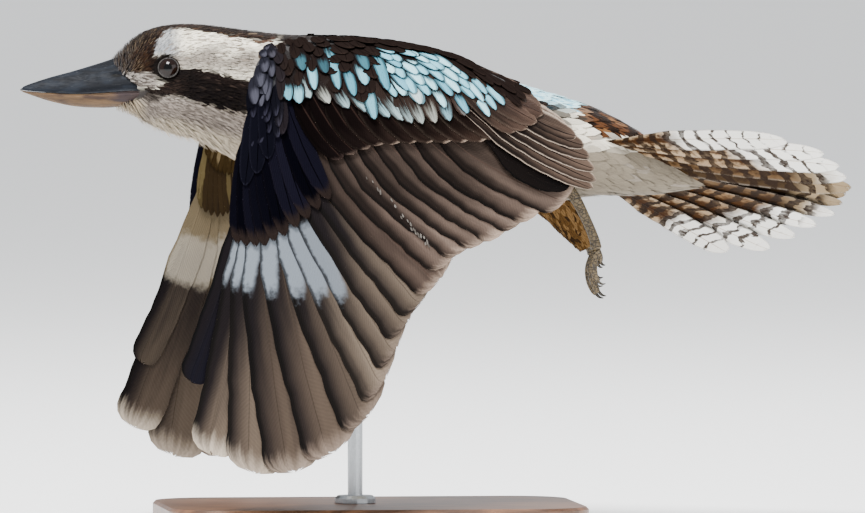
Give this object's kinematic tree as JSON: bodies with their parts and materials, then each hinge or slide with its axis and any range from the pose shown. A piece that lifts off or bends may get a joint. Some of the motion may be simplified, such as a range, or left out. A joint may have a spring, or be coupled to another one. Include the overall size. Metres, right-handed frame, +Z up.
{
  "type": "laughing kookaburra",
  "caption": "Life-size still model of a laughing kookaburra in level flight with lowered wings and fanned tail, held by one rod on a flat stand.",
  "frame": {"origin": "centre of the underside of the stand's base", "axes": "+Z up, the bill points towards -X, the tail towards +X, the bird's left wing is on the -Y side"},
  "size_m": [0.4457, 0.2678, 0.269],
  "materials": {
    "body_feathers": "matt contour feathers",
    "wing_feathers": "matt flight feathers",
    "tail_feathers": "matt barred flight feathers",
    "bill_dark": "satin horn",
    "bill_pale": "satin horn",
    "eye": "glossy glass eye",
    "leg": "dry scaly skin",
    "wood": "satin varnish",
    "steel": "brushed"
  },
  "bodies": {
    "root": {"head": "body_feathers", "neck": "body_feathers", "torso": "body_feathers", "bill_upper": "bill_dark", "bill_lower": "bill_pale", "eye_left": "eye", "eye_right": "eye", "shank_left": "body_feathers", "shank_right": "body_feathers", "foot_left": "leg", "foot_right": "leg", "wing_left": "wing_feathers", "wing_right": "wing_feathers", "tail": "tail_feathers", "stand_base": "wood", "stand_rod": "steel"}
  },
  "joints": []
}
